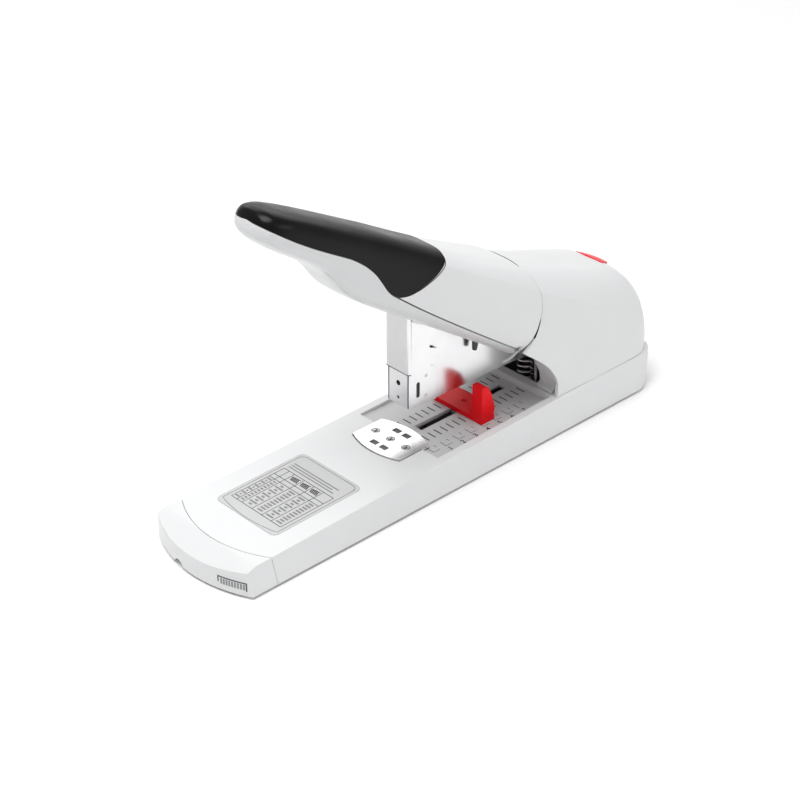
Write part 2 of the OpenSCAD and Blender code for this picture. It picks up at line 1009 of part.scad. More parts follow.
// Handle sections: [u, half width, top, bottom, squareness].
handle_rows = [
    [-44, 34.5, 31.5, -22, 3.6],
    [-30, 33.6, 32.6, -21, 3.6],
    [-14, 32.2, 32.8, -19.4, 3.6],
    [4, 30, 32, -17.8, 3.6],
    [22, 27.6, 31.2, -16.2, 3.6],
    [42, 25, 30.6, -14.6, 3.6],
    [62, 23.4, 30.4, -12.6, 3.6],
    [82, 22.2, 30.6, -11, 3.6],
    [100, 21.4, 30.8, -9, 3.6],
    [114, 21, 30.8, -6.4, 3.4],
    [124, 20.8, 30.8, -2, 3.2],
    [134, 20.5, 30.7, 2.6, 3],
    [148, 20, 30.5, 5.4, 3],
    [162, 19, 30.1, 7.2, 3],
    [174, 17.8, 29.4, 8.6, 2.9],
    [183, 14.8, 28, 11, 2.6],
    [187.6, 9.6, 25.4, 14.6, 2.3],
    [189, 3, 22.4, 18.4, 2.1]
];
handle_half = column(handle_rows, 1);
handle_top = column(handle_rows, 2);
handle_low = column(handle_rows, 3);
handle_power = column(handle_rows, 4);

// Parting line between the upper parts and the tray: height v by place u.
parting = [[-60, -18.9], [87, 0.6], [93, 2.6], [99, 6], [108, 10.6], [118, 13.6], [130, 15.2],
           [150, 15.8], [166, 16.8], [182, 18.6], [190, 19.6]];
// Back edge of the grip: place u by height v.
grip_back = [[0.4, 87], [0.8, 82], [4.2, 74], [11, 66], [18.4, 60], [25, 56.4], [31, 55.4]];

// Angle on the section at place u where its skin crosses the parting line, raised by a gap above it.
function parting_angle(u, inset, above) =
    let (top = lookup(u, handle_top), low = lookup(u, handle_low), mid = (top + low) / 2,
         half = (top - low) / 2 - inset, v = lookup(u, parting) + above - mid, p = lookup(u, handle_power))
    sign(v) * asin(min(1, pow(abs(v) / half, p / 2)));

// Point of the handle, in x, -u and v: upper parts run from side to side over the top, the tray below.
function handle_point(t, u, inset, upper) =
    let (edge = parting_angle(u, inset, upper ? gap : 0),
         a = upper ? edge + t * (180 - 2 * edge) : edge - t * (180 + 2 * edge),
         top = lookup(u, handle_top), low = lookup(u, handle_low), mid = (top + low) / 2,
         half = (top - low) / 2 - inset, p = lookup(u, handle_power), c = cos(a), s = sin(a))
    [
        (lookup(u, handle_half) - inset) * sign(c) * pow(abs(c), 2 / p),
        -u * handle_l / 189,
        mid + half * sign(s) * pow(abs(s), 2 / p)
    ];

// Place u where line t meets the seam barrel, by repeated substitution.
function seam_start(t, u, upper, n = 7) =
    n == 0 ? u : let (q = handle_point(t, u, 0, upper), r = seam_at(q[0]))
        seam_start(t, -sqrt(max(1, r * r - q[2] * q[2])), upper, n - 1);

// Place u where line t meets the grip's back edge, by repeated substitution.
function grip_start(t, u, n = 7) =
    n == 0 ? u : grip_start(t, (u + lookup(handle_point(t, u, 0, true)[2], grip_back)) / 2, n - 1);

module handle_cover() {
    steps = 28;
    rows = 12;
    function grid(inset) = [for (k = [0 : rows]) [
        for (i = [0 : steps])
            let (t = i / steps, u0 = seam_start(t, -20, true), u1 = grip_start(t, 70))
            handle_point(t, u0 + (u1 - gap / 2 - u0) * k / rows, inset, true)
    ]];
    color(white)
        handle_frame()
            skin([for (k = [rows : -1 : 0]) grid(0)[k]], [for (k = [rows : -1 : 0]) grid(wall)[k]]);
}

module grip_pad() {
    steps = 28;
    rows = 22;
    tip = 189;
    function grid(inset) = [for (k = [0 : rows]) [
        for (i = [0 : steps])
            let (t = i / steps, u0 = grip_start(t, 70), f = 1 - pow(1 - k / rows, 1.6))
            handle_point(t, u0 + (tip - inset * 0.8 - u0) * f, inset, true)
    ]];
    color(black)
        handle_frame()
            skin([for (k = [rows : -1 : 0]) grid(0)[k]], [for (k = [rows : -1 : 0]) grid(wall)[k]]);
}

// Where the tray's floor starts at a distance from the middle: open around the arm and the frame.
tray_open = [[0, 66], [13.8, 66], [15, 40], [17.6, 2], [19.5, -6], [22, -40]];
function tray_start(t, u, n = 8) =
    n == 0 ? u : let (q = handle_point(t, u, 0, false), r = seam_at(q[0]),
                      seam = -sqrt(max(1, r * r - q[2] * q[2])))
        tray_start(t, (u + max(seam, lookup(abs(q[0]), tray_open))) / 2, n - 1);

module handle_tray() {
    steps = 40;
    rows = 30;
    tip = 189;
    function grid(inset) = [for (k = [0 : rows]) [
        for (i = [0 : steps])
            let (t = i / steps, u0 = tray_start(t, 10), f = 1 - pow(1 - k / rows, 1.4))
            handle_point(t, u0 + (tip - inset * 0.8 - u0) * f, inset, false)
    ]];
    color(light)
        handle_frame()
            skin(grid(0), grid(wall));
}

module handle_core() {
    color(grey)
        handle_frame()
            difference() {
                translate([-13, -168, 13.4])
                    cube([26, 96, 11.6]);
                translate([-10, -164, 8])
                    cube([20, 88, 14]);
            }
}

// Steel lever between the hinge and the driver: [u, v] of the drive pin in the handle's frame.
drive_u = (handle_y - roller_y) * cos(handle_rise) + (roller_z - handle_z) * sin(handle_rise);
drive_v = (roller_z - handle_z) * cos(handle_rise) - (handle_y - roller_y) * sin(handle_rise);

module lever(side) {
    color(steel)
        handle_frame()
            difference() {
                handle_across(2, side * 11.5)
                    union() {
                        hull() {
                            circle(9.5);
                            translate([drive_u, drive_v])
                                circle(4);
                        }
                        hull() {
                            translate([20, 4])
                                circle(6);
                            translate([66, 13])
                                circle(5);
                        }
                        rotate(140)
                            translate([5, -3])
                                square([25.2, 6]);
                    }
                translate([-40, 0, 0])
                    rotate([0, 90, 0])
                        cylinder(d = 8.1, h = 80);
                translate([-40, -drive_u, drive_v])
                    rotate([0, 90, 0])
                        cylinder(d = 4, h = 80);
            }
}

module lever_left() {
    lever(-1);
}

module lever_right() {
    lever(1);
}

module drive_pin() {
    color(steel)
        pin_x(roller_y, roller_z, 4, -12.55, 12.55);
}

module drive_rollers() {
    color(steel)
        difference() {
            union() {
                pin_x(roller_y, roller_z, 6.4, -10.4, -8.4);
                pin_x(roller_y, roller_z, 6.4, 8.4, 10.4);
            }
            pin_x(roller_y, roller_z, 4, -20, 20);
        }
}

module handle_screws() {
    color(steel)
        handle_frame()
            for (place = [[96, -6.2], [160, 10]])
                translate([0, -place[0], place[1]])
                    cylinder(d = 3, h = 22 - place[1]);
}

// Curved web inside the rear edge: it closes the seam while the handle is down.
module handle_heel() {
    steps = 14;
    rows = 10;
    width = 50;
    low = 24;
    high = 55;
    function grid(inset) = [for (k = [0 : rows]) [
        for (i = [0 : steps])
            let (x = width * (i / steps - 0.5), a = low + (high - low) * k / rows, r = seam_at(x) - inset)
            [x, r * cos(a), r * sin(a)]
    ]];
    color(white)
        handle_frame()
            skin(grid(2.6), grid(4.6));
}

module lift_hook() {
    color(black)
        handle_frame()
            handle_across(1.6, 11.5)
                polygon([[-16, -10.5], [-3, -10.5], [-4, -17], [-8, -23.5], [-10.5, -23],
                         [-9.4, -18.4], [-16, -17.4]]);
}

// ---------- assembly ----------

base_housing();
base_bottom_plate();
rubber_feet();
bottom_screws();
drawer_rails();
spine_plate();
anvil_block();
anvil_plate();
anvil_screws();
scale_plate();
label_plate();
frame_left();
frame_right();
frame_screws();
arm_pin();
handle_pin();
rear_cover();
throat_panel();
cover_posts();
button_guide();
arm_spring();
handle_spring();
paper_stop();
stop_shoe();
stop_screw();
drawer_front();
drawer_tray();
reserve_staples();
arm_channel();
head_housing();
head_rivets();
arm_bushes();
magazine_channel();
magazine_rail();
magazine_end();
pusher_rod();
staple_strip();
staple_pusher();
pusher_spring();
driver_carrier();
driver_core();
driver_blade();
driver_rivets();
handle_cover();
handle_tray();
handle_core();
grip_pad();
lever_left();
lever_right();
drive_pin();
drive_rollers();
handle_screws();
handle_heel();
lift_hook();
release_button();
button_spring();
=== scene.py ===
import json
import math

import bmesh
import bpy
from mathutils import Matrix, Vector
from mathutils.geometry import tessellate_polygon


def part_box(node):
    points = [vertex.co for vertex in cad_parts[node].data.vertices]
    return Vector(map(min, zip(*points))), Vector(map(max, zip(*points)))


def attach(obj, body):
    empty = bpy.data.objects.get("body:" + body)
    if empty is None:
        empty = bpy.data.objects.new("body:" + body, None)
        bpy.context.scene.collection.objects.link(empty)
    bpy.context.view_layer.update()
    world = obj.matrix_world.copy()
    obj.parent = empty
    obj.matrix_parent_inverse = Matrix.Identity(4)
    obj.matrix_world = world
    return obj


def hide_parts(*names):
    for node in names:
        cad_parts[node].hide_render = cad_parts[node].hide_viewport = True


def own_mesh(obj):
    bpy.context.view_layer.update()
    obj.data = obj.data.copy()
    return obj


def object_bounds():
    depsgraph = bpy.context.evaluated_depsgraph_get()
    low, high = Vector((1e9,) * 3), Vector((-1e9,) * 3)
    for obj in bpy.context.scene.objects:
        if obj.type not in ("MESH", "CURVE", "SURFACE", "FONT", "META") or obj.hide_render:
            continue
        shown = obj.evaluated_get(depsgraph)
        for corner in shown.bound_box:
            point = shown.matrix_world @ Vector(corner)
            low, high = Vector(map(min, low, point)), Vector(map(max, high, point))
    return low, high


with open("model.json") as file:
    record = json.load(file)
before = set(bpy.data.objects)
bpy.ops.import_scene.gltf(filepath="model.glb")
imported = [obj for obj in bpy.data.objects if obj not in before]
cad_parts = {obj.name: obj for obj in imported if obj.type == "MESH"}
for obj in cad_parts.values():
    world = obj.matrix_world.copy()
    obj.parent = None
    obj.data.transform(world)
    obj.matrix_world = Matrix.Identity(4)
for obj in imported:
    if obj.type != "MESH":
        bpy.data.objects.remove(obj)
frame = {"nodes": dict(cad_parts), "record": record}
cad_low, cad_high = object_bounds()

MM = 0.001
HINGE_Y = 37.0
HINGE_Z = 89.0
RISE = math.radians(28)
WALL = 2.4
SEAM_GAP = 0.7
PARTING_GAP = 0.4
SKIRT_IN = 0.9
SKIRT_NARROW = 0.915
SKIRT_SWEEP = 38


# ---------- camera, floor and light ----------

def look(obj, target):
    direction = Vector(target) - obj.location
    obj.rotation_euler = direction.to_track_quat("-Z", "Y").to_euler()


scene = bpy.context.scene
camera_data = bpy.data.cameras.new("camera")
camera_data.sensor_width = 36
camera_data.lens = 85.5
camera_data.clip_start = 0.05
camera = bpy.data.objects.new("camera", camera_data)
scene.collection.objects.link(camera)
turn = math.radians(46.7)
rise = math.radians(31.2)
target = Vector((0, -0.0145, 0.0453))
camera.location = target + 1.095 * Vector(
    (math.sin(turn) * math.cos(rise), -math.cos(turn) * math.cos(rise), math.sin(rise)))
look(camera, target)
scene.camera = camera

scene.view_settings.view_transform = "Standard"
scene.view_settings.look = "None"

world = bpy.data.worlds.new("studio")
scene.world = world
world.use_nodes = True
world.node_tree.nodes["Background"].inputs[0].default_value = (1, 1, 1, 1)
world.node_tree.nodes["Background"].inputs[1].default_value = 0.49


def softbox(name, place, aim, size, power, colour=(1, 1, 1)):
    data = bpy.data.lights.new(name, "AREA")
    data.shape = "RECTANGLE"
    data.size, data.size_y = size
    data.energy = power
    data.color = colour
    lamp = bpy.data.objects.new(name, data)
    lamp.location = place
    look(lamp, aim)
    scene.collection.objects.link(lamp)


softbox("key", (0.0, -0.45, 1.5), (0, 0, 0.05), (0.9, 0.9), 19)
softbox("side", (1.7, 0.55, 0.75), (0, 0.02, 0.06), (0.8, 0.7), 5)
softbox("sky", (-1.25, 1.17, 1.08), (0, 0, 0.05), (1.9, 1.3), 9)


# ---------- materials ----------

def material(name, colour, rough, metal=0.0, coat=0.0, grain=(900, 0.02, 0.05), stretch=(1, 1, 1),
             tint=None, aniso=0.0, gloss=0.5):
    """Principled material with procedural grain: (scale, bump, spread of roughness)."""
    m = bpy.data.materials.new(name)
    m.use_nodes = True
    nodes, links = m.node_tree.nodes, m.node_tree.links
    shader = nodes["Principled BSDF"]
    shader.inputs["Base Color"].default_value = (*colour, 1)
    shader.inputs["Roughness"].default_value = rough
    shader.inputs["Metallic"].default_value = metal
    shader.inputs["Specular IOR Level"].default_value = gloss
    shader.inputs["Coat Weight"].default_value = coat
    shader.inputs["Coat Roughness"].default_value = 0.12
    shader.inputs["Anisotropic"].default_value = aniso
    where = nodes.new("ShaderNodeTexCoord")
    scale, bump, spread = grain
    place = nodes.new("ShaderNodeMapping")
    place.inputs["Scale"].default_value = stretch
    links.new(where.outputs["Object"], place.inputs["Vector"])
    fine = nodes.new("ShaderNodeTexNoise")
    fine.inputs["Scale"].default_value = scale
    fine.inputs["Detail"].default_value = 3
    links.new(place.outputs["Vector"], fine.inputs["Vector"])
    raised = nodes.new("ShaderNodeBump")
    raised.inputs["Strength"].default_value = bump
    raised.inputs["Distance"].default_value = 0.0004
    links.new(fine.outputs["Fac"], raised.inputs["Height"])
    links.new(raised.outputs["Normal"], shader.inputs["Normal"])
    wear = nodes.new("ShaderNodeTexNoise")
    wear.inputs["Scale"].default_value = 38
    wear.inputs["Detail"].default_value = 5
    links.new(where.outputs["Object"], wear.inputs["Vector"])
    level = nodes.new("ShaderNodeMapRange")
    level.inputs["From Min"].default_value = 0.3
    level.inputs["From Max"].default_value = 0.7
    level.inputs["To Min"].default_value = max(0.02, rough - spread)
    level.inputs["To Max"].default_value = rough + spread
    links.new(wear.outputs["Fac"], level.inputs["Value"])
    links.new(level.outputs["Result"], shader.inputs["Roughness"])
    if tint:
        ramp = nodes.new("ShaderNodeValToRGB")
        ramp.color_ramp.elements[0].position = 0.35
        ramp.color_ramp.elements[0].color = (*tint, 1)
        ramp.color_ramp.elements[1].position = 0.65
        ramp.color_ramp.elements[1].color = (*colour, 1)
        links.new(wear.outputs["Fac"], ramp.inputs["Fac"])
        links.new(ramp.outputs["Color"], shader.inputs["Base Color"])
    return m


LOOKS = {
    "white_shell": material("shell_white", (0.70, 0.705, 0.71), 0.34, coat=0.08, grain=(2600, 0.04, 0.02),
                            tint=(0.692, 0.697, 0.703)),
    "light_shell": material("shell_light", (0.64, 0.645, 0.65), 0.34, coat=0.1, grain=(2400, 0.06, 0.03),
                            tint=(0.63, 0.635, 0.642)),
    "grey_plastic": material("plastic_grey", (0.36, 0.365, 0.37), 0.45, grain=(1800, 0.1, 0.06),
                             tint=(0.34, 0.345, 0.35)),
    "rubber": material("rubber_feet", (0.03, 0.03, 0.032), 0.75, grain=(1500, 0.25, 0.08),
                       tint=(0.022, 0.022, 0.024)),
    "grip_rubber": material("rubber_grip", (0.0045, 0.0045, 0.005), 0.3, gloss=0.16,
                            grain=(3200, 0.12, 0.06), tint=(0.0035, 0.0035, 0.0038)),
    "black_plastic": material("plastic_black", (0.02, 0.02, 0.021), 0.4, grain=(1600, 0.08, 0.05),
                              tint=(0.016, 0.016, 0.017)),
    "red_plastic": material("plastic_red", (0.78, 0.003, 0.008), 0.3, gloss=0.14, grain=(2000, 0.03, 0.03),
                            tint=(0.75, 0.002, 0.006)),
    "screw_steel": material("steel_zinc", (0.6, 0.6, 0.61), 0.3, 1.0, grain=(900, 0.15, 0.08),
                            tint=(0.5, 0.5, 0.515)),
    "frame_steel": material("steel_sheet", (0.72, 0.72, 0.73), 0.3, 1.0, grain=(700, 0.12, 0.07),
                            stretch=(1, 8, 1), tint=(0.6, 0.6, 0.61), aniso=0.4),
    "polished_steel": material("steel_polished", (0.86, 0.86, 0.87), 0.22, 1.0, grain=(500, 0.05, 0.04),
                               stretch=(1, 1, 9), tint=(0.77, 0.77, 0.78), aniso=0.3),
    "wire_steel": material("steel_wire", (0.7, 0.7, 0.71), 0.22, 1.0, grain=(1200, 0.1, 0.06),
                           tint=(0.6, 0.6, 0.61)),
}
SCALE_GREY = material("scale_grey", (0.54, 0.542, 0.548), 0.32, grain=(1900, 0.08, 0.05),
                      tint=(0.51, 0.512, 0.518))
LABEL_GREY = material("label_grey", (0.53, 0.532, 0.538), 0.42, grain=(1700, 0.05, 0.04),
                      tint=(0.51, 0.512, 0.518))
# Painted seam shade: dark colour standing in for the shadow inside seams and gaps.
PAINTED_SEAM_SHADE = material("seam_painted_shade", (0.03, 0.03, 0.032), 0.6, gloss=0.2, grain=(1500, 0.1, 0.05),
                     tint=(0.02, 0.02, 0.022))
PRINT_DARK = material("print_dark", (0.028, 0.028, 0.03), 0.5, gloss=0.25, grain=(1500, 0.04, 0.05),
                      tint=(0.045, 0.045, 0.048))
PRINT_GREY = material("print_grey", (0.2, 0.2, 0.205), 0.5, grain=(1500, 0.04, 0.05),
                      tint=(0.23, 0.23, 0.235))


# Painted edge shade: dark steel standing in for the shadows and dark reflections along sheet edges, in
# screw recesses and in the groove beds.
PAINTED_EDGE_SHADE = material("steel_painted_edge_shade", (0.16, 0.16, 0.165), 0.45, 0.8, grain=(900, 0.1, 0.06),
                     tint=(0.12, 0.12, 0.125))
# Darker copy of the polished steel for the carrier's front-facing faces: painted shade.
PAINTED_SHADE_PANEL_STEEL = material("steel_front_painted_shade", (0.6, 0.6, 0.605), 0.3, 0.9, grain=(500, 0.05, 0.04),
                       stretch=(1, 1, 9), tint=(0.54, 0.54, 0.545))


# ---------- CAD nodes: softened edges and detailed materials ----------

SOFT = {
    "base_housing": 0.35, "drawer_front": 1.0, "paper_stop": 0.7, "anvil_plate": 0.45, "label_plate": 0.12,
    "driver_carrier": 0.35, "head_housing": 0.2, "scale_plate": 0.15, "release_button": 0.5,
    "drawer_tray": 0.3, "throat_panel": 0.35, "lift_hook": 0.3,
}


def soften(obj, width):
    """Weld, bevel and even out the shading of a CAD node, leaving its own mesh as it is."""
    for polygon in obj.data.polygons:
        polygon.use_smooth = True
    weld = obj.modifiers.new("weld", "WELD")
    weld.merge_threshold = 0.00001
    bevel = obj.modifiers.new("bevel", "BEVEL")
    bevel.width = width * MM
    bevel.segments = 3
    bevel.limit_method = "ANGLE"
    bevel.angle_limit = math.radians(38)
    bevel.harden_normals = True
    even = obj.modifiers.new("even", "WEIGHTED_NORMAL")
    even.keep_sharp = True


for part in frame["record"]["subparts"]:
    node = frame["nodes"][part["node"]]
    node.data.materials.clear()
    node.data.materials.append(LOOKS[part["material_slot"]])
    if node.name == "scale_plate":
        node.data.materials[0] = SCALE_GREY
    if node.name == "label_plate":
        node.data.materials[0] = LABEL_GREY
    if "spring" not in node.name:
        soften(node, SOFT.get(node.name, 0.15))


# ---------- helpers for new pieces ----------

def track(points):
    """Smooth function through (x, y) points that adds no bumps between them."""
    xs = [p[0] for p in points]
    ys = [p[1] for p in points]
    steps = [(ys[i + 1] - ys[i]) / (xs[i + 1] - xs[i]) for i in range(len(xs) - 1)]
    slopes = [steps[0]]
    for a, b in zip(steps, steps[1:]):
        slopes.append(0 if a * b <= 0 else 2 * a * b / (a + b))
    slopes.append(steps[-1])

    def at(x):
        if x <= xs[0]:
            return ys[0]
        if x >= xs[-1]:
            return ys[-1]
        i = max(k for k in range(len(xs) - 1) if xs[k] <= x)
        h = xs[i + 1] - xs[i]
        s = (x - xs[i]) / h
        return ((1 + 2 * s) * (1 - s) ** 2 * ys[i] + s * (1 - s) ** 2 * h * slopes[i]
                + s * s * (3 - 2 * s) * ys[i + 1] + s * s * (s - 1) * h * slopes[i + 1])
    return at


def finish_piece(obj, body, slot, nodes=(), look_of=None):
    scene.collection.objects.link(obj)
    if obj.data.materials:
        obj.data.materials[0] = look_of or LOOKS[slot]
    else:
        obj.data.materials.append(look_of or LOOKS[slot])
    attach(obj, body)
    if nodes:
        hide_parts(*nodes)
    return obj


def bake(obj):
    """The mesh with its modifiers applied."""
    scene.collection.objects.link(obj)
    bpy.context.view_layer.update()
    mesh = bpy.data.meshes.new_from_object(obj.evaluated_get(bpy.context.evaluated_depsgraph_get()))
    scene.collection.objects.unlink(obj)
    obj.modifiers.clear()
    obj.data = mesh
    return obj


def new_object(name, bm):
    mesh = bpy.data.meshes.new(name)
    bm.to_mesh(mesh)
    bm.free()
    for polygon in mesh.polygons:
        polygon.use_smooth = True
    return bpy.data.objects.new(name, mesh)


def sheet(name, rows_of_points, push=None, thick=WALL, edge=0.5, cutter=None, dark=""):
    """Shell from rows of points in mm: creased by push(point), then thickened with rounded rims.

    dark is "edge" for a line of painted seam shade along its edges, or "rim" for painted seam shade on the
    cut faces as well.
    """
    bm = bmesh.new()
    rows = [[bm.verts.new(Vector(p) * MM) for p in row] for row in rows_of_points]
    for a, b in zip(rows, rows[1:]):
        for i in range(len(a) - 1):
            bm.faces.new((a[i], a[i + 1], b[i + 1], b[i]))
    bmesh.ops.remove_doubles(bm, verts=bm.verts, dist=0.000002)
    bm.normal_update()
    middle = sum((v.co for v in bm.verts), Vector()) / len(bm.verts)
    if sum(f.normal.dot(f.calc_center_median() - middle) * f.calc_area() for f in bm.faces) < 0:
        bmesh.ops.reverse_faces(bm, faces=bm.faces)
        bm.normal_update()
    if push:
        moved = [(v, v.normal * push(v.co / MM) * MM) for v in bm.verts]
        for v, d in moved:
            v.co += d
    obj = new_object(name, bm)
    wall = obj.modifiers.new("wall", "SOLIDIFY")
    wall.thickness = thick * MM
    wall.offset = -1
    if dark:
        obj.data.materials.append(None)
        obj.data.materials.append(PAINTED_SEAM_SHADE)
        wall.material_offset_rim = int(dark == "rim")
    if cutter:
        hole = obj.modifiers.new("hole", "BOOLEAN")
        hole.object = cutter
        hole.solver = "EXACT"
    rim = obj.modifiers.new("rim", "BEVEL")
    rim.width = edge * MM
    rim.segments = 3
    rim.limit_method = "ANGLE"
    rim.angle_limit = math.radians(50)
    rim.harden_normals = True
    if dark:
        rim.material = 1
    return obj


def power_arc(c, s, p):
    return math.copysign(abs(c) ** (2 / p), c), math.copysign(abs(s) ** (2 / p), s)


# ---------- rear cover ----------

SEAM_R = 30.4
SEAM_BOW = 5.1
SEAM_BOW_R = (33 ** 2 + SEAM_BOW ** 2) / (2 * SEAM_BOW)


def seam_at(x):
    return SEAM_R + SEAM_BOW - SEAM_BOW_R + math.sqrt(SEAM_BOW_R ** 2 - x * x)


def deck(y):
    return 18.3 + (25.6 - 18.3) / 309 * (y + 156)


# Sections of the rear cover: y, half width, height of the crown, power of the cross-section's curve.
COVER = [
    (38, 33.5, 128, 3.2), (52, 34.5, 118.4, 3.2), (64, 35.6, 111.6, 3.2), (78, 36.6, 106, 3.2),
    (92, 37.2, 100.8, 3.2), (106, 37.6, 96, 3.2), (120, 37.9, 91.4, 3.2), (132, 38, 87.2, 3.2),
    (142, 38, 83.6, 3.2), (150, 38, 79.6, 3.1), (157, 37.1, 74.2, 3), (162, 34.7, 67.6, 2.9),
    (166, 31.2, 58, 2.8), (168.6, 27.5, 46, 2.7), (170, 24.2, 36, 2.6), (170.6, 21.9, 30, 2.4),
    (170.9, 20, 27, 2.2)]
cover_half, cover_top, cover_power = (track([(r[0], r[c]) for r in COVER]) for c in (1, 2, 3))
throat_edge = track([(20, 78), (27.7, 81.8), (33.8, 80.6), (44.5, 74.7), (53.6, 65.5), (62.9, 52.9)])


def cover_point(t, y):
    a = math.pi * t
    p = cover_power(y)
    c, s = power_arc(math.cos(a), max(0.0, math.sin(a)), p)
    low = deck(y) + 0.1
    return cover_half(y) * c, y, low + (cover_top(y) - low) * s


def cover_front(x, z):
    if z < 62.9:
        return throat_edge(z)
    return HINGE_Y + math.sqrt(max(0, (seam_at(x) + SEAM_GAP) ** 2 - (z - HINGE_Z) ** 2))


def settle(step, start, rounds=10):
    value = start
    for _ in range(rounds):
        value = step(value)
    return value


def cover_start(t):
    def step(y):
        x, _, z = cover_point(t, y)
        return (y + cover_front(x, z)) / 2
    return settle(step, 70)


def crease(point, reach=1.5, width=8.5):
    """Soft fold that runs down both sides from the grip's corner over the seam to the rear cover."""
    x, y, z = point
    side = min(1, max(0, (abs(x) - 17) / 6))
    fade = min(1, max(0, (146 - y) / 45))
    line = 134.6 - 0.5554 * y
    return reach * side * fade * math.exp(-abs(z - line) * 0.874 / width)


cover_rows = []
for k in range(73):
    f = 1 - (1 - k / 72) ** 1.35
    row = []
    for i in range(113):
        t = i / 112
        y0 = cover_start(t)
        row.append(cover_point(t, y0 + (170.9 - y0) * f))
    cover_rows.append(row)


def shield(grow):
    """Outline of the button's column: a round back and a straight front with small corners."""
    points = [((8.6 + grow) * math.cos(math.radians(a)), (8.6 + grow) * math.sin(math.radians(a)))
              for a in range(-8, 189, 4)]
    for side, first in ((-1, 160), (1, 270)):
        points += [(side * 9 + (1.5 + grow) * math.cos(math.radians(a)),
                    -5.4 + (1.5 + grow) * math.sin(math.radians(a)))
                   for a in range(first, first + 111, 15)]
    return points


BUTTON_TILT = math.radians(26)


def button_place(x, y, z):
    """From the button's own frame, with z along its travel, to the object's, in mm."""
    return Vector((x, 138 + y * math.cos(BUTTON_TILT) + z * math.sin(BUTTON_TILT),
                   54 - y * math.sin(BUTTON_TILT) + z * math.cos(BUTTON_TILT)))


bm = bmesh.new()
lower = [bm.verts.new(button_place(x, y, 4) * MM) for x, y in shield(0.6)]
upper = [bm.verts.new(button_place(x, y, 50) * MM) for x, y in shield(0.6)]
for i in range(len(lower)):
    j = (i + 1) % len(lower)
    bm.faces.new((lower[i], lower[j], upper[j], upper[i]))
bm.faces.new(lower[::-1])
bm.faces.new(upper)
cutter = new_object("button_hole", bm)
scene.collection.objects.link(cutter)
cover = bake(sheet("rear_cover_shell", cover_rows, crease, edge=0.35, cutter=cutter, dark="rim"))
# The throat's rim, below and in front, goes back to the shell colour; the painted seam shade stays on the
# seam's rim.
for polygon in cover.data.polygons:
    if polygon.center.z < 0.07 and polygon.center.y < 0.09:
        polygon.material_index = 0
bpy.data.objects.remove(cutter)


# ---------- handle ----------

# Sections of the handle: length from the hinge, half width, top, underside, power of the curve.
HANDLE = [
    (-44, 34.5, 31.5, -22, 3.6), (-30, 33.6, 32.6, -21, 3.6), (-14, 32.2, 32.8, -19.4, 3.6),
    (4, 30, 32, -17.8, 3.6), (22, 27.6, 31.2, -16.2, 3.6), (42, 25, 30.6, -14.6, 3.6),
    (62, 23.4, 30.4, -12.6, 3.6), (82, 22.2, 30.6, -11, 3.6), (100, 21.4, 30.8, -9, 3.6),
    (114, 21, 30.8, -6.4, 3.4), (124, 20.8, 30.8, -2, 3.2), (134, 20.5, 30.7, 2.6, 3),
    (148, 20, 30.5, 5.4, 3), (162, 19, 30.1, 7.2, 3), (174, 17.8, 29.4, 8.6, 2.9),
    (183, 14.8, 28, 11, 2.6), (187.6, 9.6, 25.4, 14.6, 2.3), (188.6, 5.4, 23.4, 17.2, 2.1),
    (189, 0.04, 20.32, 20.26, 2)]
HANDLE_END = 188.97
h_half, h_top, h_low, h_power = (track([(r[0], r[c]) for r in HANDLE]) for c in (1, 2, 3, 4))
parting = track([(-60, -18.9), (87, 0.6), (93, 2.6), (99, 6), (108, 10.6), (118, 13.6), (130, 15.2),
                 (150, 15.8), (166, 16.8), (182, 18.6), (190, 19.6)])
grip_back = track([(0.4, 87), (0.8, 82), (4.2, 74), (11, 66), (18.4, 60), (25, 56.4), (31, 55.4)])
tray_open = track([(0, 66), (13, 66), (14.4, 40), (17.6, 2), (19.5, -6), (22, -40)])


def handle_point(t, u, upper):
    top, low, p = h_top(u), h_low(u), h_power(u)
    mid, half = (top + low) / 2, (top - low) / 2
    v = parting(u) + (PARTING_GAP if upper else 0) - mid
    edge = math.copysign(math.asin(min(1, (abs(v) / half) ** (p / 2))), v)
    a = edge + t * (math.pi - 2 * edge) if upper else edge - t * (math.pi + 2 * edge)
    c, s = power_arc(math.cos(a), math.sin(a), p)
    return h_half(u) * c, -u, mid + half * s


def lift(p):
    """From the raised handle's frame to the object's."""
    x, y, z = p
    c, s = math.cos(RISE), math.sin(RISE)
    return x, HINGE_Y + y * c + z * s, HINGE_Z - y * s + z * c


def seam_start(t, u, upper):
    def step(u):
        x, _, v = handle_point(t, u, upper)
        return -math.sqrt(max(1, (seam_at(x) - 0.25) ** 2 - v * v))
    return settle(step, u)


def grip_start(t):
    return settle(lambda u: (u + grip_back(handle_point(t, u, True)[2])) / 2, 70)


def tray_start(t):
    def step(u):
        x, _, v = handle_point(t, u, False)
        seam = -math.sqrt(max(1, seam_at(x) ** 2 - v * v))
        return (u + max(seam, tray_open(abs(x)))) / 2
    return settle(step, 10)


def grid(rows, steps, start, end, upper, ease):
    out = []
    starts = [start(i / steps) for i in range(steps + 1)]
    ends = [end(i / steps) for i in range(steps + 1)]
    for k in range(rows + 1):
        f = ease(k / rows)
        out.append([lift(handle_point(i / steps, starts[i] + (ends[i] - starts[i]) * f, upper))
                    for i in range(steps + 1)])
    return out


def lowered(point):
    """From the object's frame back to the raised handle's: length from the hinge and height."""
    dy, dz = point[1] - HINGE_Y, point[2] - HINGE_Z
    return -dy * math.cos(RISE) + dz * math.sin(RISE), dy * math.sin(RISE) + dz * math.cos(RISE)


def tray_lip(point):
    """Rounded lip of the underside, just below the parting line."""
    u, v = lowered(point)
    fade = min(1, max(0, (186 - u) / 20))
    return 0.5 * fade * math.exp(-((parting(u) - v) / 2.4) ** 2)


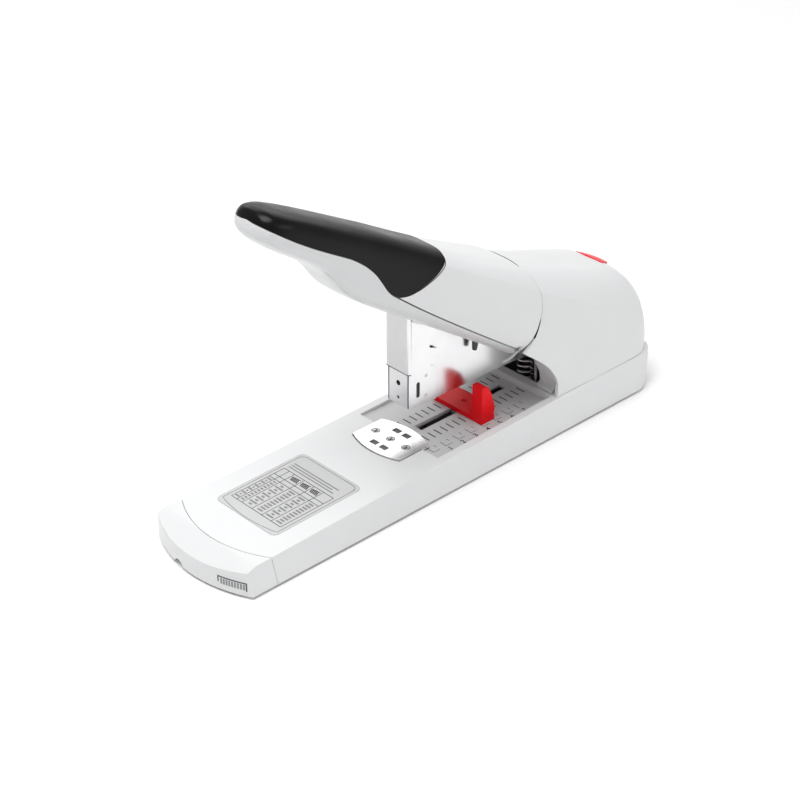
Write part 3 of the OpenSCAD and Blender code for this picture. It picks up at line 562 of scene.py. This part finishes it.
def grip_fold(point):
    """Ridge along both upper sides of the grip."""
    x = point[0]
    u, v = lowered(point)
    fade = min(1, max(0, (186 - u) / 14))
    return 0.75 * fade * math.exp(-math.hypot(abs(x) - 17.3 * h_half(u) / 20.5, v - 26) / 4.2)


# The handle cover's edges carry a line of painted seam shade.
handle_shell = sheet("handle_cover_shell", grid(36, 112, lambda t: seam_start(t, -20, True),
                                                lambda t: grip_start(t) - 0.12, True, lambda f: f),
                     crease, edge=0.35, dark="edge")
finish_piece(handle_shell, "handle", "white_shell", ["handle_cover"])
grip = sheet("grip_rubber_pad", grid(110, 96, grip_start, lambda t: HANDLE_END, True,
                                  lambda f: 1 - (1 - f) ** 1.6), grip_fold)
finish_piece(grip, "handle", "grip_rubber", ["grip_pad"])
tray = sheet("handle_underside", grid(110, 120, tray_start, lambda t: HANDLE_END, False,
                                      lambda f: 1 - (1 - f) ** 1.4), tray_lip)
finish_piece(tray, "handle", "light_shell", ["handle_tray"])

finish_piece(cover, "base", "white_shell", ["rear_cover"])

# Inner skirt behind the handle cover: it slides out from under the rear cover as the handle goes down.
skirt_rows = []
for k in range(25):
    swing = math.radians(SKIRT_SWEEP * k / 24 - 1.5)
    row = []
    for i in range(6, 107):
        x, y, z = lift(handle_point(i / 112, seam_start(i / 112, -20, True), True))
        dy, dz = (y - HINGE_Y) * SKIRT_IN, (z - HINGE_Z) * SKIRT_IN
        row.append((x * SKIRT_NARROW, HINGE_Y + dy * math.cos(swing) + dz * math.sin(swing),
                    HINGE_Z - dy * math.sin(swing) + dz * math.cos(swing)))
    skirt_rows.append(row)
finish_piece(sheet("handle_hinge_skirt", skirt_rows, thick=1.2, edge=0.3), "handle", "grey_plastic")


# ---------- printed ruler, label and drawer mark ----------

PRINT_PROUD = 0.03

def bar(bm, x, y, width, length, z, turn=0.0):
    """Flat printed bar, centred at x, y in mm, standing a hair over the surface."""
    corners = []
    for dz in (-0.05, PRINT_PROUD):
        for sx, sy in ((-1, -1), (1, -1), (1, 1), (-1, 1)):
            px, py = sx * width / 2, sy * length / 2
            qx = px * math.cos(turn) - py * math.sin(turn)
            qy = px * math.sin(turn) + py * math.cos(turn)
            corners.append(bm.verts.new(Vector((x + qx, y + qy, z(y + qy) + dz)) * MM))
    for f in ((4, 5, 6, 7), (0, 1, 5, 4), (1, 2, 6, 5), (2, 3, 7, 6), (3, 0, 4, 7), (3, 2, 1, 0)):
        bm.faces.new([corners[i] for i in f])


def printed(name, bm, body, look_of):
    obj = new_object(name, bm)
    for polygon in obj.data.polygons:
        polygon.use_smooth = False
    return finish_piece(obj, body, "black_plastic", look_of=look_of)


scale_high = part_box("scale_plate")[1] / MM


def scale_top(y):
    return scale_high.z


ruler = bmesh.new()
for k in range(17):
    y = -4.5 + 5 * k
    for x in (-10, 11):
        bar(ruler, x, y, 6.7, 0.85, scale_top)
for k in range(8):
    y = -11.6 + 10.2 * k
    bar(ruler, 22.6, y, 5.4, 0.42, scale_top)
    if k < 7:
        bar(ruler, 25.2, y + 2.55, 0.35, 5.1, scale_top)
    bar(ruler, 21.2, y + 5.1, 2.6, 0.35, scale_top)
printed("ruler_marks", ruler, "base", PRINT_DARK)
for k in range(7):
    curve = bpy.data.curves.new("ruler_number_%d" % (k + 1), "FONT")
    curve.body = str(k + 1)
    curve.size = 5.2 * MM
    curve.offset = 0.07 * MM
    curve.extrude = PRINT_PROUD * MM
    curve.align_x = "CENTER"
    curve.align_y = "CENTER"
    digit = bpy.data.objects.new("ruler_number_%d" % (k + 1), curve)
    digit.location = Vector((28.9, -1.4 + 10.3 * k, scale_high.z + PRINT_PROUD)) * MM
    digit.rotation_euler.z = math.pi / 2
    finish_piece(digit, "base", "black_plastic", look_of=PRINT_DARK)


def label_top(y):
    return deck(y) + 0.12


label = bmesh.new()
fine = bmesh.new()
LABEL_Y = -99.5
for x in (-23.4, 23.4):
    bar(label, x, LABEL_Y, 0.25, 57, label_top)
bar(label, 0, LABEL_Y + 30.6, 39, 0.25, label_top)
for k in range(17):
    x = -21.6 + 2.7 * k
    bow = 3.2 * (1 - (x / 23.4) ** 2)
    bar(label, x, LABEL_Y - 28.4 - bow, 2.75, 0.25, label_top, math.atan(2 * 3.2 * x / 23.4 ** 2))
for sx in (-1, 1):
    for k in range(4):
        a = math.radians(11 + 22.5 * k)
        bar(label, sx * (19.4 + 4 * math.cos(a)), LABEL_Y + 26.6 + 4 * math.sin(a), 0.25, 1.6, label_top,
            sx * a)
table_top, table_low = LABEL_Y + 14.5, LABEL_Y - 24
columns = [-21, -16.5, -12, -3.5, 5, 13, 21]
for y in (table_top, table_top - 7.5, table_top - 11, table_low):
    bar(label, 0, y, 42, 0.4, label_top)
for x in columns:
    bar(label, x, (table_top + table_low) / 2, 0.36, table_top - table_low, label_top)
for k in range(11):
    y = table_top - 13 - 2.3 * k
    for a, b in zip(columns, columns[1:]):
        wide = (b - a) * (0.5 + 0.22 * math.sin(3.1 * k + 1.7 * a))
        bar(fine, (a + b) / 2, y, wide, 1.25, label_top)
for k in range(3):
    y = LABEL_Y + 21.6 - 2.1 * k
    bar(fine, -1.5 - 1.5 * (k % 2), y, 38 - 3 * (k % 2), 0.8, label_top)
for x in (-7.7, 0.8, 9):
    for j in range(5):
        bar(label, x - 2.4 + 1.2 * j, table_top - 3.8, 0.8, 3.4, label_top, 0.35)
    bar(label, x, table_top - 2, 6.2, 0.5, label_top, 0.12)
printed("label_table", label, "base", PRINT_DARK)
printed("label_rows", fine, "base", PRINT_GREY)


# Staple-stick pictogram on the drawer's face: the face's plan is a wide arc.
FACE_R = 84.7
FACE_Y = -171 + FACE_R


def face_point(x, z, out=0.03):
    """Point on the drawer's curved front face."""
    r = FACE_R + out
    return Vector((x, FACE_Y - math.sqrt(r * r - x * x), z)) * MM


def face_bar(bm, x0, x1, z0, z1, lean=0.0):
    steps = 6
    rows = []
    for out in (-0.05, 0.04):
        rows.append([[bm.verts.new(face_point(x0 + (x1 - x0) * i / steps + lean * (z - z0), z, out))
                      for i in range(steps + 1)] for z in (z0, z1)])
    inner, outer = rows
    for i in range(steps):
        bm.faces.new((outer[0][i], outer[0][i + 1], outer[1][i + 1], outer[1][i]))
        bm.faces.new((inner[0][i], inner[1][i], inner[1][i + 1], inner[0][i + 1]))
        bm.faces.new((outer[0][i], inner[0][i], inner[0][i + 1], outer[0][i + 1]))
        bm.faces.new((outer[1][i], outer[1][i + 1], inner[1][i + 1], inner[1][i]))
    for i in (0, steps):
        bm.faces.new((outer[0][i], outer[1][i], inner[1][i], inner[0][i]))


mark = bmesh.new()
shade = bmesh.new()
face_bar(mark, 21.5, 38.5, 9.3, 10.1)
face_bar(mark, 21.5, 22.2, 6.1, 9.3)
face_bar(mark, 37.8, 38.5, 4.6, 9.3)
for k in range(9):
    face_bar(shade, 23.3 + 1.62 * k, 24.4 + 1.62 * k, 5.2, 8.9)
printed("drawer_mark", mark, "drawer", PRINT_DARK)
printed("drawer_mark_lines", shade, "drawer", PRINT_GREY)

# Painted shade in the seam between the base and the drawer front: a dark strip standing in for the gap's
# shadow.
SEAM_PLAN_R = 71.1
bm = bmesh.new()
loops = []
for i in range(61):
    a = math.radians(270 - 33.2 + 66.4 * i / 60)
    loop = []
    for r, low in ((SEAM_PLAN_R + 0.02, True), (SEAM_PLAN_R + 0.3, True),
                   (SEAM_PLAN_R + 0.3, False), (SEAM_PLAN_R + 0.02, False)):
        x, y = r * math.cos(a), -156 + SEAM_PLAN_R + r * math.sin(a)
        shoulder = max(0.0, abs(x) - 36.0)
        top = deck(y) - 0.35 - 0.16 * shoulder ** 2
        foot = 15.4 if abs(x) < 29 else 3
        loop.append(bm.verts.new(Vector((x, y, foot if low else top)) * MM))
    loops.append(loop)
for a, b in zip(loops, loops[1:]):
    for k in range(4):
        bm.faces.new((a[k], b[k], b[(k + 1) % 4], a[(k + 1) % 4]))
bm.faces.new(loops[0])
bm.faces.new(loops[-1][::-1])
bmesh.ops.recalc_face_normals(bm, faces=bm.faces)
printed("drawer_seam_painted_shade", bm, "base", PAINTED_SEAM_SHADE)


# ---------- anvil screws ----------

def cross_screw(bm, x, y, top, radius, depth=0.9, steps=40):
    """Round screw head with a soft rim and a cross recess."""
    rings = [(radius, top - depth), (radius, top - 0.28), (radius - 0.1, top - 0.1), (radius - 0.3, top)]
    loops = []
    for r, z in rings:
        loops.append([bm.verts.new(Vector((x + r * math.cos(2 * math.pi * i / steps),
                                           y + r * math.sin(2 * math.pi * i / steps), z)) * MM)
                      for i in range(steps)])

    def cross(scale, z):
        out = []
        for i in range(steps):
            a = 2 * math.pi * i / steps
            c, s = abs(math.cos(a)), abs(math.sin(a))
            reach = 0.34 / max(min(c, s), 0.0001)
            r = min(reach, 0.62 * radius) if min(c, s) > 0 else 0.62 * radius
            r = max(r, 0.34 * 1.42)
            out.append(bm.verts.new(Vector((x + scale * r * math.cos(a + 0.5),
                                            y + scale * r * math.sin(a + 0.5), z)) * MM))
        return out
    loops.append(cross(1, top + 0.02))
    loops.append(cross(0.92, top - 0.75))
    for k, (a, b) in enumerate(zip(loops, loops[1:])):
        for i in range(steps):
            j = (i + 1) % steps
            face = bm.faces.new((a[i], a[j], b[j], b[i]))
            # Only the top face keeps the steel; the rim, sides and cross recess take painted shade.
            face.material_index = 0 if k == 3 else 1
    face = bm.faces.new(loops[-1])
    face.material_index = 1


bm = bmesh.new()
anvil_low, anvil_high = (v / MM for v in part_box("anvil_plate"))
anvil_y = (anvil_low.y + anvil_high.y) / 2
for x in (-12.7, 0, 12.7):
    cross_screw(bm, x, anvil_y, anvil_high.z - 0.15, 2.6)
screws = new_object("anvil_screw_heads", bm)
screws.data.materials.append(None)
screws.data.materials.append(PAINTED_EDGE_SHADE)
finish_piece(screws, "base", "screw_steel", ["anvil_screws"])


# ---------- head and driver carrier: folded sheet with painted shade on its cut edges ---

def disc(y, z, r, steps=28):
    return [(y + r * math.cos(2 * math.pi * i / steps), z + r * math.sin(2 * math.pi * i / steps))
            for i in range(steps)]


def slot_ring(y, z0, z1, r, steps=12):
    """Outline of an upright slot with round ends, between the centres z0 and z1."""
    low = [(y + r * math.cos(a), z0 + r * math.sin(a))
           for a in (math.pi + math.pi * i / steps for i in range(steps + 1))]
    high = [(y + r * math.cos(a), z1 + r * math.sin(a))
            for a in (math.pi * i / steps for i in range(steps + 1))]
    return low + high


def plate(bm, outline, holes, x0, x1, edge=1):
    """Flat plate in the YZ plane with holes; its cut edges take material number edge."""
    rings = [outline] + holes
    flat = [Vector((y, z, 0)) for ring in rings for y, z in ring]
    faces = tessellate_polygon([[Vector((y, z, 0)) for y, z in ring] for ring in rings])
    sides = [[bm.verts.new(Vector((x, p.x, p.y)) * MM) for p in flat] for x in (x0, x1)]
    for f in faces:
        bm.faces.new([sides[0][i] for i in f])
        bm.faces.new([sides[1][i] for i in f[::-1]])
    first = 0
    for ring in rings:
        n = len(ring)
        for i in range(n):
            j = first + (i + 1) % n
            i += first
            face = bm.faces.new((sides[0][i], sides[0][j], sides[1][j], sides[1][i]))
            face.material_index = edge
        first += n


def sheet_piece(name, bm, body, nodes, slot="polished_steel"):
    bmesh.ops.recalc_face_normals(bm, faces=bm.faces)
    obj = new_object(name, bm)
    obj.data.materials.append(None)
    obj.data.materials.append(PAINTED_EDGE_SHADE)
    obj.data.materials.append(PAINTED_SHADE_PANEL_STEEL)
    for polygon in obj.data.polygons:
        polygon.use_smooth = False
        # Faces turned to the front take the darker steel copy, painted shade on the front panel.
        if polygon.normal.y < -0.9 and polygon.material_index == 0 and polygon.area > 0.0001:
            polygon.material_index = 2
    # Every bevel takes the painted edge shade.
    edge = obj.modifiers.new("edge", "BEVEL")
    edge.width = 0.3 * MM
    edge.segments = 2
    edge.limit_method = "ANGLE"
    edge.angle_limit = math.radians(50)
    edge.material = 1
    return finish_piece(obj, body, slot, nodes)


def round_corner(cy, cz, r, a0, a1, steps=8):
    return [(cy + r * math.cos(math.radians(a0 + (a1 - a0) * i / steps)),
             cz + r * math.sin(math.radians(a0 + (a1 - a0) * i / steps))) for i in range(steps + 1)]


HEAD_Y = -16
ANVIL_Y = -22
bm = bmesh.new()
cheek = ([(HEAD_Y + 0.2, 43.2), (HEAD_Y + 21.8, 41.5)] + round_corner(HEAD_Y + 16.8, 60.6, 5, 0, 90)
         + [(HEAD_Y + 0.2, 65.6)])
openings = [slot_ring(HEAD_Y + 7.6, 49.5, 57, 1.3)] + [disc(HEAD_Y + 14, z, 1.0) for z in (47.4, 60.4)]
for side in (-1, 1):
    plate(bm, cheek, openings, side * 7.9, side * 8.6)
sheet_piece("head_cheeks", bm, "arm", ["head_housing"])
# Dark plates behind the cheeks' slots: painted shade inside the slots.
bm = bmesh.new()
for side in (-1, 1):
    plate(bm, slot_ring(HEAD_Y + 7.6, 49.5, 57, 1.7), [], side * 7.93, side * 8.0, 0)
finish_piece(new_object("head_slot_painted_shade", bm), "arm", "black_plastic")

# Side of the carrier, with the hook on its back edge: distance behind the anvil's middle, and height.
CARRIER_LOW, CARRIER_TOP = 66, 112
side_outline = [(ANVIL_Y + y, z) for y, z in (
    (6.8, CARRIER_LOW), (19.5, CARRIER_LOW), (22.5, 66.5), (26.1, 68), (26.1, 70), (28, 71.9), (30.9, 69.1),
    (32.1, 70.3), (31.6, 72.5), (27.2, 76.5), (21.6, 78.4), (19.2, 85.8), (19.9, 90.7), (22, 97),
    (22.6, 104), (22.6, CARRIER_TOP), (6.8, CARRIER_TOP))]


def rounded(points, r=0.7):
    """Takes the sharpness off each corner of an outline."""
    out = []
    for i, p in enumerate(points):
        a, c = Vector(points[i - 1]), Vector(points[(i + 1) % len(points)])
        p = Vector(p)
        da, dc = (a - p), (c - p)
        r1 = min(r, 0.4 * da.length, 0.4 * dc.length)
        e0, e1 = p + da.normalized() * r1, p + dc.normalized() * r1
        for t in (0, 0.33, 0.67, 1):
            q = e0 * (1 - t) ** 2 + 2 * p * t * (1 - t) + e1 * t * t
            out.append((q.x, q.y))
    return out


bm = bmesh.new()
drive_slot = [(-12 + z, 103.5 - y) for y, z in slot_ring(0, 0, 6.6, 3.6)]
outline = side_outline[:1] + rounded(side_outline)[4:-4] + side_outline[-1:]
for side in (-1, 1):
    plate(bm, outline, [drive_slot], side * 8.9, side * 9.9)


def bent_corners(r):
    """Plan of the front panel, bent back at both ends with radius r."""
    right = [(8.3 + r * math.cos(math.radians(a)), -15.4 + r * math.sin(math.radians(a)))
             for a in range(0, -91, -15)]
    return [(8.3 + r, -15.2)] + right + [(-x, y) for x, y in right[::-1]] + [(-8.3 - r, -15.2)]


# Front panel: the closed plan swept up, with painted shade on its lower band and its top and bottom edge
# faces.
outer = bent_corners(1.6)
contour = outer + bent_corners(0.7)[::-1]
lows, foot, highs = ([bm.verts.new(Vector((x, y, z)) * MM) for x, y in contour]
                     for z in (CARRIER_LOW, CARRIER_LOW + 0.7, CARRIER_TOP))
n = len(contour)
for i in range(n):
    j = (i + 1) % n
    face = bm.faces.new((lows[i], lows[j], foot[j], foot[i]))
    face.material_index = 1
    bm.faces.new((foot[i], foot[j], highs[j], highs[i]))
for k in range(len(outer) - 1):
    for ring in (lows, highs):
        face = bm.faces.new((ring[k], ring[k + 1], ring[n - 2 - k], ring[n - 1 - k]))
        face.material_index = 1
# Top plate between the sides.
low, high = ([bm.verts.new(Vector((x, y, z)) * MM)
              for x, y in ((-8.811, -15.2), (8.811, -15.2), (8.811, 0.6), (-8.811, 0.6))]
             for z in (CARRIER_TOP - 1, CARRIER_TOP - 0.02))
bm.faces.new(low[::-1])
bm.faces.new(high)
for i in range(4):
    bm.faces.new((low[i], low[(i + 1) % 4], high[(i + 1) % 4], high[i]))
sheet_piece("driver_carrier_sheet", bm, "driver", ["driver_carrier", "driver_rivets"])

# Painted shade in the beds of the four clinch grooves: dark strips standing in for their dark reflections.
bm = bmesh.new()
for side in (-1, 1):
    for sx in (-1, 1):
        rows = []
        for i in range(11):
            a = math.radians(-38 + 76 * i / 10)
            y = ANVIL_Y + side * 9 + 2.86 * math.sin(a)
            z = anvil_high.z + 2.1 - 2.86 * math.cos(a)
            rows.append([bm.verts.new(Vector((x, y, z)) * MM) for x in (sx * 4 - 2.6, sx * 4 + 2.6)])
        for a, b in zip(rows, rows[1:]):
            bm.faces.new((a[0], a[1], b[1], b[0]))
bmesh.ops.recalc_face_normals(bm, faces=bm.faces)
finish_piece(new_object("clinch_groove_painted_shade", bm), "base", "frame_steel", look_of=PAINTED_EDGE_SHADE)


# ---------- coil springs ------------------------------------

def coil_spring(node, body, axis, wire, turns, anchor_high):
    """Round wire coil in the space of a CAD spring."""
    low, high = (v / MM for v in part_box(node))
    k = "xyz".index(axis)
    a, b = (i for i in range(3) if i != k)
    reach = (high[a] - low[a] - wire) / 2
    along = Vector((0, 0, 0))
    along[k] = 1
    bm = bmesh.new()
    rings = []
    steps = int(turns * 24)
    for i in range(steps + 1):
        angle = 2 * math.pi * turns * i / steps
        out = Vector((0, 0, 0))
        out[a], out[b] = math.cos(angle), math.sin(angle)
        centre = (low + high) / 2 + out * reach
        centre[k] = low[k] + wire / 2 + (high[k] - low[k] - wire) * i / steps
        rings.append([bm.verts.new((centre + (out * math.cos(w) + along * math.sin(w)) * wire / 2) * MM)
                      for w in (math.pi * j / 4 for j in range(8))])
    for p, q in zip(rings, rings[1:]):
        for j in range(8):
            bm.faces.new((p[j], p[(j + 1) % 8], q[(j + 1) % 8], q[j]))
    bm.faces.new(rings[0])
    bm.faces.new(rings[-1])
    bmesh.ops.recalc_face_normals(bm, faces=bm.faces)
    coil = finish_piece(new_object(node + "_coil", bm), body, "wire_steel", [node])
    anchor = (low + high) / 2
    anchor[k] = high[k] if anchor_high else low[k]
    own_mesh(coil)


coil_spring("pusher_spring", "magazine", "y", 0.6, 12,
            True)
coil_spring("arm_spring", "base", "z", 1.2, 6, False)


# ---------- floor ----------

floor_look = bpy.data.materials.new("floor_pale")
floor_look.use_nodes = True
floor_look.node_tree.nodes["Principled BSDF"].inputs["Base Color"].default_value = (0.93, 0.93, 0.93, 1)
floor_look.node_tree.nodes["Principled BSDF"].inputs["Roughness"].default_value = 0.9
bm = bmesh.new()
bmesh.ops.create_grid(bm, x_segments=2, y_segments=2, size=6)
floor = new_object("floor", bm)
floor.data.materials.append(floor_look)
floor.location.z = cad_low.z - 0.0002
scene.collection.objects.link(floor)
